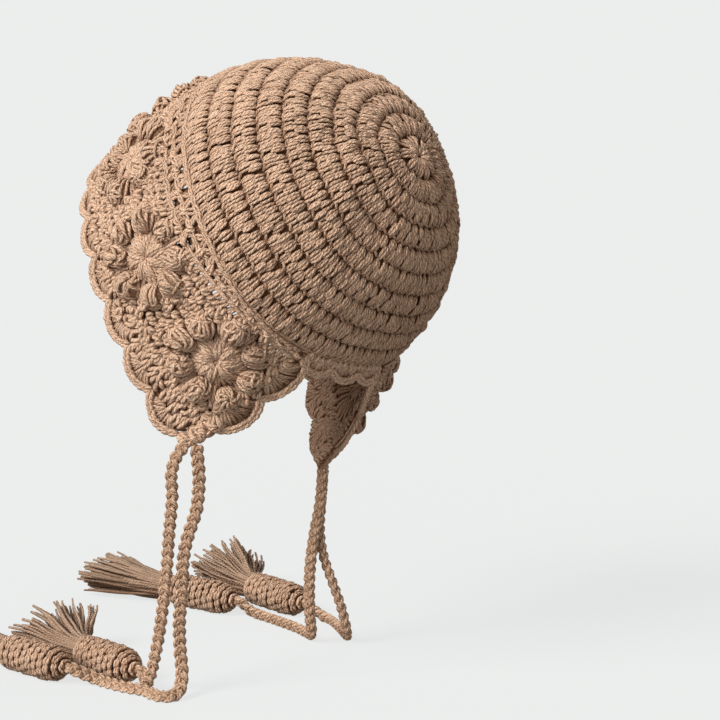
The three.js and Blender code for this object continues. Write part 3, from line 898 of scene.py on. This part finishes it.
def addBobbles(skein, surface, centre, heading, size, strands, base, yarn, **how):
    # a popcorn is a dome with strands half sunk in it: they run from pole to pole as meridians
    # with a twist of their own, a whorl lies over them, and short ones bow round the outer pole.
    # size is half its length along the heading, half its width and its height
    n = len(centre)
    along = np.stack([np.cos(heading), np.sin(heading)], -1)[:, None]
    across = np.stack([-np.sin(heading), np.cos(heading)], -1)[:, None]
    half, wide, high = np.array(size)[:, None, None] * (1 + jitter(0.07, n, 1))

    def skin(x, y, z, sink, least=-math.inf):
        # place and height on an ellipsoid, sink under its skin; x, y and z go from -1 to 1
        spot = centre[:, None] + ((half - sink) * x)[..., None] * along
        spot = spot + ((wide - sink) * y)[..., None] * across
        return spot, base + np.maximum((high - sink) * z, least)

    def dome(pole, turn, *rest):
        # the same by angles: from one end of the length to the other, and round it
        return skin(-np.cos(pole), np.sin(turn) * np.sin(pole), np.cos(turn) * np.sin(pole), *rest)

    t = np.linspace(0, 1, 8)[None]
    twist = jitter(16 * deg, n, 1)
    for tilt in np.linspace(-72, 72, strands) * deg:
        turn = tilt + twist * (t - 0.5) * 2 + jitter(6 * deg, n, 1)
        turn = turn + 6 * deg * np.sin(5 * t + 6 * dice.random((n, 1)))
        sink = (0.55 + 0.3 * dice.random((n, 1))) * yarn
        thick = yarn * (0.7 + 0.3 * hump(t, 0.04))
        surfaceStrands(skein, surface, *dome(math.pi * mix(0.05, 0.95, t), turn, sink), thick, **how)
    # the whorl: strands from a crown point of its own, down and round
    t = np.linspace(0, 1, 7)[None]
    swell = np.sin(math.pi * t)
    lean = (25 + 30 * dice.random((n, 1))) * deg
    facing = 2 * math.pi * dice.random((n, 1))
    spin = (35 + 25 * dice.random((n, 1))) * deg * np.where(dice.random((n, 1)) < 0.5, -1, 1)
    for arm in range(7):
        polar = mix(10, 62, t) * deg
        azimuth = 2 * math.pi * (arm + jitter(0.25, n, 1)) / 7 + spin * t
        x = np.sin(polar) * np.cos(azimuth)
        y = np.sin(polar) * np.sin(azimuth)
        x, z = turned(x, np.cos(polar), -lean)
        x, y = turned(x, y, facing)
        sink = (0.15 + 0.35 * dice.random((n, 1))) * yarn
        thick = yarn * (0.75 + 0.2 * swell)
        surfaceStrands(skein, surface, *skin(x, y, z, sink, -0.5 * mm), thick, **how)
    for pole in (0.66, 0.82):
        turn = mix(-80, 80, t) * deg + jitter(20 * deg, n, 1)
        reach = math.pi * (pole + jitter(0.03, n, 1)) + 0.2 * swell
        surfaceStrands(skein, surface, *dome(reach, turn, 0.35 * yarn), yarn * 0.85, **how)
    # the dome itself, painted darker as shade under its strands
    pole = math.pi * np.linspace(0.03, 0.97, 8)
    turn = np.tile(2 * math.pi * np.arange(12) / 12, 8)
    spot, height = dome(np.repeat(pole, 12), turn, 0.75 * yarn, -1.2 * mm)
    grid = fromHat(surface(spot[..., 0], spot[..., 1], height)).reshape(n, 8, 12, 3)
    addSolid(skein, grid, np.broadcast_to(pole * size[0], (n, 8)), 0.45)


def addKnobs(skein, surface, spots, high, base=stitch["low"], yarn=stitch["knobYarn"], inner=False, **how):
    # single crochet seen from the front: at each spot two short fat strands side by side, which
    # open like a V and lean to one side or the other
    n = len(spots)
    base = stitch["inner"] if inner else base
    t = np.linspace(0, 1, 5)[None]
    arc = hump(t, 0.03)
    lean = np.where(dice.random((n, 1)) < 0.5, -1, 1) * 34 * deg
    heading = 90 * deg + lean + jitter(16 * deg, n, 1)
    for leg in (-1, 1):
        own = heading + leg * 9 * deg
        reach = (2.3 * mm + jitter(0.25 * mm, n, 1)) * (t - 0.5) * 2
        aside = leg * 0.95 * mm * (0.75 + 0.35 * arc)
        a = spots[:, :1] + reach * np.cos(own) - aside * np.sin(heading)
        b = spots[:, 1:] + reach * np.sin(own) + aside * np.cos(heading)
        height = base + high * arc * (1 + jitter(0.2, n, 1))
        thick = yarn * (0.72 + 0.28 * arc)
        surfaceStrands(skein, surface, np.stack([a, b], -1), height, thick, inner=inner, **how)


def knobSpots(a0, a1, b0, b1):
    # a jittered grid of places, every second row half a step aside
    na = max(1, int(round((a1 - a0) / stitch["knobPitch"])))
    nb = max(1, int(round((b1 - b0) / stitch["knobPitch"])))
    i, j = np.meshgrid(np.arange(na), np.arange(nb), indexing="ij")
    a = a0 + (a1 - a0) * (i + 0.5 + 0.25 * (-1.0) ** j) / na
    b = b0 + (b1 - b0) * (j + 0.5) / nb
    return np.stack([a, b], -1).reshape(-1, 2) + jitter(0.5 * mm, na * nb, 2)


# open lace between the crown and the strip
lace = {
    "start": 1.2 * mm,
    "end": 13.9 * mm,
    "middle": 6.6 * mm,          # from the start to the middle chain
    "cell": 10.4 * mm,
    "link": 4.3 * mm,
    "yarn": 0.95 * mm,
    "height": -1.9 * mm,
}


def makeLace():
    # from the crown's rim pairs of bars lean together to a wandering middle chain; from there
    # bundles of bars go on to the strip, and thin threads cross behind them
    skein = newSkein()
    width = lace["end"] - lace["start"]

    def net(run, across, height):
        # across runs from the crown's rim to the strip, whose edge wanders
        stretch = lace["end"] + stripShift(run) - lace["start"]
        return brimAt(run, lace["start"] + across / width * stretch, height)

    cells = int((hat["left"] + hat["right"]) / lace["cell"])
    runs = np.linspace(-hat["right"] + 3 * mm, hat["left"] - 3 * mm, cells + 1)
    n = len(runs)
    runs = runs + jitter(0.6 * mm, n)
    half = lace["cell"] / 2

    def bars(a0, b0, a1, b1, legs, spread, sink=0.0, thick=1.0):
        # from places a0 on the line b0 to places a1 on the line b1, each with some chance
        heights = np.array((-0.2, 0.3, -0.2)) * mm + lace["height"] - sink
        start = np.stack([a0 + jitter(0.6 * mm, n), b0 + 0 * a0], -1)
        end = np.stack([a1 + jitter(0.8 * mm, n), b1 + jitter(0.5 * mm, n)], -1)
        # the bars' hidden sides get a lighter painted shade than other strands, as both faces are seen
        addPosts(skein, net, start, end, spread, heights, lace["yarn"] * thick, legs, sunk=0.6)

    for lean in (-0.8, 0.8):
        bars(runs, -0.8 * mm, runs + lean * half, 7.0 * mm, 2, 0.8 * mm)
    bars(runs + half, 5.8 * mm, runs + half, width + 0.5 * mm, 3, 1.3 * mm)
    bars(runs, 7.2 * mm, runs + 0.35 * half, width + 0.5 * mm, 2, 0.7 * mm, 0.5 * mm)
    for part, slide in enumerate((-0.87, -0.63, -0.37, -0.12, 0.12, 0.37, 0.63, 0.87)):
        foot = runs + 2 * slide * half
        lean = half * (0.9 if part % 2 else -0.9)
        bars(foot, -0.5 * mm, foot + lean, width, 1, 0.0, 2.3 * mm, 1.45)
    # a wandering chain on each of three lines, and knots where bars meet
    count = int((hat["left"] + hat["right"]) / lace["link"])
    a = np.linspace(-hat["right"], hat["left"], count)
    chains = ((-0.6 * mm, 0.2, 0.8), (lace["middle"], 0.9, 0.85), (width, 0.5, 0.9))
    for line, fold, wide in chains:
        wave = line + fold * mm * np.sin(2 * math.pi * a / lace["cell"]) + jitter(0.3 * mm, count)
        stops = np.stack([a, wave], -1)
        addChain(skein, net, stops, wide * mm, lace["height"] + 0.2 * mm, lace["yarn"] * 0.9)
    knots = np.stack([runs + half, np.full(n, lace["middle"])], -1)
    addKnobs(skein, net, knots, 1.5 * mm, lace["height"], 1.15 * mm)
    makePiece("lace_net", skein, hatYarn, "lace_band")


# flower squares of the strip
sideSign = {"left": 1, "right": -1}
flower = {
    "eachSide": 4,
    "start": 14 * mm,            # the strip's edges, ahead of the crown's rim
    "end": 62 * mm,
    # how far each motif sits from its square's middle, and towards the crown
    "along": (2 * mm, 3.5 * mm, 4.5 * mm, 8 * mm),
    "towards": (0.0, 0.0, -1.5 * mm, -2.0 * mm),
    "petalTo": 12.2 * mm,
    "petalWide": 2.7 * mm,
    "petalHigh": 3.6 * mm,
    "bobbleRing": 18.9 * mm,
    "bobble": (7.2 * mm, 6.7 * mm, 8.0 * mm),
    "base": -2.6 * mm,
    "yarn": 1.15 * mm,
    "plate": (-3.3 * mm, -4.3 * mm),     # heights of the plate behind the stitches
    "panel": 17 * mm,            # it ends this far towards the crown
}


def addPetals(skein, surface, base, spin):
    # eight puffs round a middle, each of five strands that part and close again: the height
    # goes up and down as half a wave between the inner and the outer end
    t = np.linspace(0, 1, 8)[None]
    angle = (2 * math.pi * (np.arange(8) + spin) / 8 + jitter(3 * deg, 8))[:, None]
    swell = np.sin(math.pi * np.clip(t, 0.03, 0.97) ** 0.85)
    for f in (-1, -0.5, 0, 0.5, 1):
        r = mix(0.6 * mm, flower["petalTo"], t) + jitter(0.3 * mm, 8, 1)
        aside = f * flower["petalWide"] * swell ** 0.7 + jitter(0.2 * mm, 8, 1)
        height = base + flower["petalHigh"] * (1 - 0.35 * f * f) * swell ** 0.8 + jitter(0.2 * mm, 8, 1)
        spot = np.stack(turned(r, aside, angle), -1)
        surfaceStrands(skein, surface, spot, height, flower["yarn"] * (0.6 + 0.4 * swell))


def addPanelBack(skein, surface, halfRun, low, high):
    # a rounded plate behind the stitches, painted dark as shade behind them: rings of a square's outline
    theta = 2 * math.pi * np.arange(32) / 32
    rings = np.linspace(0.06, 1, 8)
    beside = halfRun / np.maximum(np.abs(np.cos(theta)), 1e-6)
    along = np.where(np.sin(theta) > 0, high, low) / np.maximum(np.abs(np.sin(theta)), 1e-6)
    reach = rings[:, None] * np.minimum(beside, along)
    a = reach * np.cos(theta)
    b = reach * np.sin(theta)
    outer, inner = (surface(a, b, np.full(a.shape, height)) for height in flower["plate"])
    length = np.concatenate([rings, rings[::-1]]) * 0.02
    addSolid(skein, fromHat(np.concatenate([outer, inner[::-1]]))[None], length[None], 0.25)


def spokes(count, turn, inner, outer):
    # ends of straight lines from one circle to another
    theta = 2 * math.pi * (np.arange(count) + turn) / count
    way = np.stack([np.cos(theta), np.sin(theta)], -1)
    return way * inner, way * outer


def makeFlower(side, i):
    # a motif in its square: puffed petals, spokes, a ring of bobbles with posts between them, and
    # rows of single crochet out to the square's edges
    sign = sideSign[side]
    half = hat[side] / flower["eachSide"] / 2
    middle = sign * half * (2 * i + 1)
    shift = sign * flower["along"][i]
    shiftUp = flower["towards"][i]
    centre = (flower["start"] + flower["end"]) / 2
    halfDepth = (flower["end"] - flower["start"]) / 2

    def square(a, b, height):
        # a along the strip, b towards the crown, from the middle of the square
        return brimAt(middle + a, centre - b + stripShift(middle + a), height)

    def motif(a, b, height):
        # the same from the middle of the motif
        return square(a + shift, b + shiftUp, height)

    def beyond(spots, radius):
        # those farther than this from the motif's middle
        return spots[np.hypot(spots[:, 0] - shift, spots[:, 1] - shiftUp) > radius]

    skein = newSkein()
    base = flower["base"]
    yarn = flower["yarn"]
    addPetals(skein, motif, base, jitter(0.1))
    heights = (base + 1.2 * mm, base + 1.2 * mm, base)
    addPosts(skein, motif, *spokes(24, 0.5, 4 * mm, 15 * mm), 0.6 * mm, heights, yarn)
    # bobbles; between each two a post, and a knot on the outer side of each
    theta = 2 * math.pi * (np.arange(8) + 0.5) / 8 + jitter(3 * deg, 8)
    r = flower["bobbleRing"] + jitter(0.5 * mm, 8)
    spots = np.stack([r * np.cos(theta), r * np.sin(theta)], -1)
    addBobbles(skein, motif, spots, theta + jitter(14 * deg, 8), flower["bobble"], 7, base, 1.1 * mm)
    heights = (base, base + 1.4 * mm, base)
    addPosts(skein, motif, *spokes(8, 0, 12 * mm, 25 * mm), 1.0 * mm, heights, yarn)
    addKnobs(skein, motif, spokes(24, 0.5, 25.2 * mm, 0)[0], 2.2 * mm, base)
    # single crochet fills the square outside the ring; the side towards the crown stays open
    outside = beyond(knobSpots(-half, half, -halfDepth, halfDepth - 4 * mm), 22.5 * mm)
    addKnobs(skein, square, outside, 2.0 * mm, base - 0.3 * mm)
    columns = np.arange(-half, half, stitch["pitch"])
    top = beyond(np.stack([columns, np.full(len(columns), halfDepth - 5.5 * mm)], -1), 21 * mm)
    addPosts(skein, square, top, top + np.array([1.2, 6]) * mm, 0.9 * mm, heights, yarn)
    makePiece(f"flower_square_{side}_{i + 1}", skein, frontYarnPaintedShade, f"flower_{side}_{i + 1}")
    # the inner face: the plate, two rounds of posts on it and rows beyond them
    back = newSkein()
    addPanelBack(back, square, half - 0.5 * mm, halfDepth - 0.5 * mm, flower["panel"])
    face = stitch["inner"]
    heights = (face, face - 1.0 * mm, face)
    addPosts(back, motif, *spokes(12, 0, 1 * mm, 12 * mm), 0.7 * mm, heights, 0.9 * mm, inner=True)
    heights = (face - 0.3 * mm, face - 1.5 * mm, face)
    addPosts(back, motif, *spokes(24, 0.5, 11 * mm, 24 * mm), 0.75 * mm, heights, 0.95 * mm, inner=True)
    outside = beyond(knobSpots(-half, half, -halfDepth, flower["panel"]), 24 * mm)
    addKnobs(back, square, outside, -1.2 * mm, inner=True)
    makePiece(f"flower_back_{side}_{i + 1}", back, hatYarn)


# shell edging
shell = {
    "pitch": 24 * mm,
    "reach": 9 * mm,
    "posts": 9,
    "foot": 4.2 * mm,            # half the length of the line that the posts stand on
    "yarn": 0.85 * mm,
    "innerYarnPaintedShade": 1.2 * mm,
    "chainYarn": 1.25 * mm,
    "web": (-3.1 * mm, -3.9 * mm),       # heights of its two faces
}


def arch(t):
    # rounded outline of a shell, 0 in the notches and 1 at the tip
    return np.sqrt(np.abs(np.sin(math.pi * np.clip(t, 0, 1))))


def addShells(skein, surface, rim):
    # fans of posts from a short foot line to an arch, scooped in the middle, with a thick
    # chain along the arch; the same fans show on the inner face
    posts = np.linspace(-1, 1, shell["posts"])
    pitch = rim["length"] / rim["count"]
    low = stitch["low"]
    face = stitch["inner"]
    for i in range(rim["count"]):
        t = 0.5 + 0.42 * np.sin(posts * 78 * deg)
        tip = rim["notch"] + (rim["reach"] - 2.4 * mm) * arch(t)
        tip = np.stack([rim["start"] + pitch * (i + t), tip], -1)
        root = rim["start"] + pitch * (i + 0.5) + posts * shell["foot"]
        root = np.stack([root, np.full(len(posts), rim["foot"])], -1)
        heights = (low + 1.6 * mm, low + 1.3 * mm, low + 0.1 * mm)
        addPosts(skein, surface, root, tip, 0.68 * mm, heights, shell["yarn"])
        heights = (face - 0.3 * mm, face - 1.1 * mm, face - 0.3 * mm)
        addPosts(skein, surface, root, tip, 0.0, heights, shell["innerYarnPaintedShade"], 1, inner=True)
        edge = np.linspace(0.02, 0.98, 10)
        across = rim["notch"] + (rim["reach"] - 1.0 * mm) * arch(edge)
        stops = np.stack([rim["start"] + pitch * (i + edge), across], -1)
        # the arch chain gets a lighter painted shade on its low and hidden sides
        addChain(skein, surface, stops, mm, low + 1.0 * mm, shell["chainYarn"], least=0.6, sunk=0.35)


def addPlate(skein, surface, along, across, length, depth):
    # a thin plate over a net of places: across is (rows, m), along and length are (m,)
    a = np.broadcast_to(along, across.shape)
    top, low = (surface(a, across, np.full(a.shape, height)) for height in shell["web"])
    grid = fromHat(np.concatenate([top, low[::-1]]).transpose(1, 0, 2))
    addSolid(skein, grid[None], length[None], depth)


def addShellWeb(skein, surface, rim):
    # the web between the posts: a scalloped plate a little smaller than the shells, painted dark as shade
    # between the posts and lighter along its edge
    u = np.linspace(0, 1, rim["count"] * 12 + 1)
    edge = rim["notch"] + (rim["reach"] - 1.3 * mm) * arch((u * rim["count"]) % 1.0)
    across = mix(rim["webFoot"], edge, np.array([0.0, 0.35, 0.7, 1.0])[:, None])
    depth = np.array([0.3, 0.3, 0.3, 0.75, 0.75, 0.35, 0.35, 0.35])
    length = rim["length"] * u
    addPlate(skein, surface, rim["start"] + length, across, length, depth)


def makeFrontEdging():
    # knobs over the band from the strip to the notches, and shells beyond it
    skein = newSkein()
    back = newSkein()
    total = hat["left"] + hat["right"]
    start = flower["end"] - 1 * mm
    depth = hat["brimDepth"] - start

    def band(run, across, height):
        # across is measured from the strip's edge to the notches of the shells
        return brimAt(run, start + stripShift(run) + across * (1 - stripShift(run) / depth), height)

    spots = knobSpots(-hat["right"], hat["left"], 0, depth)
    addKnobs(skein, band, spots, 2.3 * mm)
    # more of them where the band widens
    more = spots[np.abs(spots[:, 0]) > 165 * mm] + np.array([2, 1]) * mm
    more = more[more[:, 1] < depth - 2 * mm]
    addKnobs(skein, band, more, 2.0 * mm)
    addKnobs(back, band, spots, -1.0 * mm, inner=True)
    addKnobs(back, band, more, -1.0 * mm, inner=True)
    rim = {
        "start": -hat["right"],
        "length": total,
        "count": int(round(total / shell["pitch"])),
        "foot": 68 * mm,
        "webFoot": 67 * mm,
        "notch": hat["brimDepth"],
        "reach": shell["reach"],
    }
    addShells(skein, brimAt, rim)
    makePiece("front_shells", skein, frontYarnPaintedShade, "front_edging")
    addShellWeb(back, brimAt, rim)
    # a plate behind the band, painted in shade
    columns = np.linspace(-hat["right"], hat["left"], 120)
    addPlate(back, band, columns, np.linspace(0, depth, 4)[:, None] + 0 * columns, columns, 0.45)
    makePiece("front_band_inside", back, hatYarn)


def makeEdging(name, node, surface, rim):
    # shells, knobs over an area beside them on both faces, and their web
    skein = newSkein()
    addShells(skein, surface, rim)
    spots = knobSpots(*rim["knobs"])
    addKnobs(skein, surface, spots, 2.0 * mm)
    addKnobs(skein, surface, spots, -0.9 * mm, inner=True)
    addShellWeb(skein, surface, rim)
    makePiece(name, skein, hatYarn, node)


def flapBack(side):
    # the surface beyond a flap's back edge; across leads away from the flap
    end = hat[side] + 0.3 * mm
    return lambda ahead, across, height: brimAt(sideSign[side] * (end + across), ahead, height)


# an edging: its length in shells, where their posts and their web start, where the notches and
# how far out the tips are, and the area of knobs
flapRim = {
    "start": 2.5 * mm,
    "length": 51.5 * mm,
    "count": 2,
    "foot": 0.5 * mm,
    "webFoot": 0.2 * mm,
    "notch": 5.5 * mm,
    "reach": shell["reach"],
    "knobs": (3.5 * mm, 54 * mm, -1.0 * mm, 2.5 * mm),
}


def makeFlapEdging(side):
    # on the back edge of the ear corner
    makeEdging("flap_shells_" + side, "flap_edging_" + side, flapBack(side), flapRim)


def makeNapeEdging():
    # as the flap's, along the crown's rim between the flaps
    first = hat["left"] / hat["headRadius"] + nape["inset"]
    last = 2 * math.pi - hat["right"] / hat["headRadius"] - nape["inset"]
    rim = {
        "start": 0.0,
        "length": (last - first) * hat["headRadius"],
        "count": 3,
        "foot": 1.0 * mm,
        "webFoot": 0.2 * mm,
        "notch": 3.6 * mm,
        "reach": 6.5 * mm,
    }
    rim["knobs"] = (0, rim["length"], -0.5 * mm, 3.5 * mm)

    def surface(along, across, height):
        # along the rim from the left flap's end
        return napeAt(first + along / hat["headRadius"], across, height)

    makeEdging("nape_shells", "nape_edging", surface, rim)


corner = {
    "places": np.array([(51.5, 4.6), (57, 4.4), (62.5, 4.8), (68, 4.2)]) * mm,
    "headings": np.array([60, 80, 100, 115]) * deg,
    "size": (5.0 * mm, 4.2 * mm, 4.8 * mm),
    "yarn": 1.0 * mm,
}


def makeTieCorner(side):
    # a row of small popcorns along the end of the flap's back edge, and knobs beside them
    skein = newSkein()
    surface = flapBack(side)
    kind = (corner["places"], corner["headings"], corner["size"], 5, stitch["low"], corner["yarn"])
    # these get half the usual painted shade on the strands' hidden sides
    addBobbles(skein, surface, *kind, sunk=0.5)
    inside = knobSpots(54.5 * mm, 70 * mm, 0.5 * mm, 8 * mm)
    addKnobs(skein, surface, inside, 1.6 * mm, sunk=0.5)
    addKnobs(skein, surface, inside, -0.9 * mm, inner=True, sunk=0.5)
    makePiece("tie_popcorns_" + side, skein, hatYarn, "tie_corner_" + side)


rimChain = {"links": 106, "along": 0.3 * mm, "wide": 0.9 * mm, "height": -2.2 * mm, "yarn": 0.9 * mm}


def makeRimChain():
    # the chain on the crown's rim, round the whole crown
    skein = newSkein()

    def surface(along, across, height):
        # along the rim from the top, across away from the pole
        around = along / hat["headRadius"]
        return crownAt(rimAt(around)[0] + across / hat["headRadius"], around, height)

    along = np.linspace(0, 2 * math.pi * hat["headRadius"], rimChain["links"] + 1)
    stops = np.stack([along, rimChain["along"] + 0 * along], -1)
    # low parts of the chain are painted darker as shade, down to half
    addChain(skein, surface, stops, rimChain["wide"], rimChain["height"], rimChain["yarn"], least=0.5)
    makePiece("rim_chain", skein, hatYarn)


makeCrown()
makeCrownBack()
makeRimChain()
print("crown made")
makeLace()
for side in sideSign:
    for index in range(flower["eachSide"]):
        makeFlower(side, index)
print("lace and flowers made")
makeFrontEdging()
makeNapeEdging()
for side in sideSign:
    makeFlapEdging(side)
    makeTieCorner(side)
print("edgings made")


# stage and light: three soft suns, each with its strength, its width and the way towards it,
# measured to the camera's right, up and back
suns = {
    "key": {"strength": 3.4, "width": 28 * deg, "towards": (-0.69, 0.62, 0.59)},
    "fill": {"strength": 0.9, "width": 60 * deg, "towards": (-0.2, 0.05, 1.0)},
    "rim": {"strength": 1.8, "width": 60 * deg, "towards": (0.45, 0.3, -1.0)},
}
skyLight = {"Color": (1.0, 0.95, 0.88, 1), "Strength": 0.23}
floorSize = 500.0
floorSurface = {
    "Base Color": (0.10, 0.104, 0.104, 1),
    "Roughness": 1.0,
    "Specular IOR Level": 0.0,
    "Emission Color": (0.985, 1.0, 0.992, 1),
    "Emission Strength": 0.738,  # the floor glows a little, as a lit table does
}


def makeStage():
    # a wide square at the tassels' level
    mesh = bpy.data.meshes.new("floor")
    signs = ((-1, -1), (1, -1), (1, 1), (-1, 1))
    corners = [(x * floorSize, y * floorSize, floorLevel) for x, y in signs]
    mesh.from_pydata(corners, [], [(0, 1, 2, 3)])
    floor = addObject("floor", mesh)
    material = bpy.data.materials.new("pale_floor")
    material.use_nodes = True
    setInputs(material.node_tree.nodes["Principled BSDF"], floorSurface)
    mesh.materials.append(material)
    floor.visible_diffuse = False    # no light is thrown up from the floor


def lightScene():
    # the suns and an even pale sky
    for name, sun in suns.items():
        right, up, back = sun["towards"]
        towards = cameraRight * right + cameraUp * up + cameraBack * back
        data = bpy.data.lights.new(name, "SUN")
        data.energy = sun["strength"]
        data.angle = sun["width"]
        data.color = (1.0, 0.985, 0.965)
        lamp = addObject(name, data)
        lamp.rotation_euler = towards.to_track_quat("Z", "Y").to_euler()
    world = bpy.data.worlds.new("studio")
    bpy.context.scene.world = world
    world.use_nodes = True
    setInputs(world.node_tree.nodes["Background"], skyLight)
    bpy.context.scene.view_settings.view_transform = "Standard"


makeStage()
lightScene()
print("total triangles", sum(counts.values()))
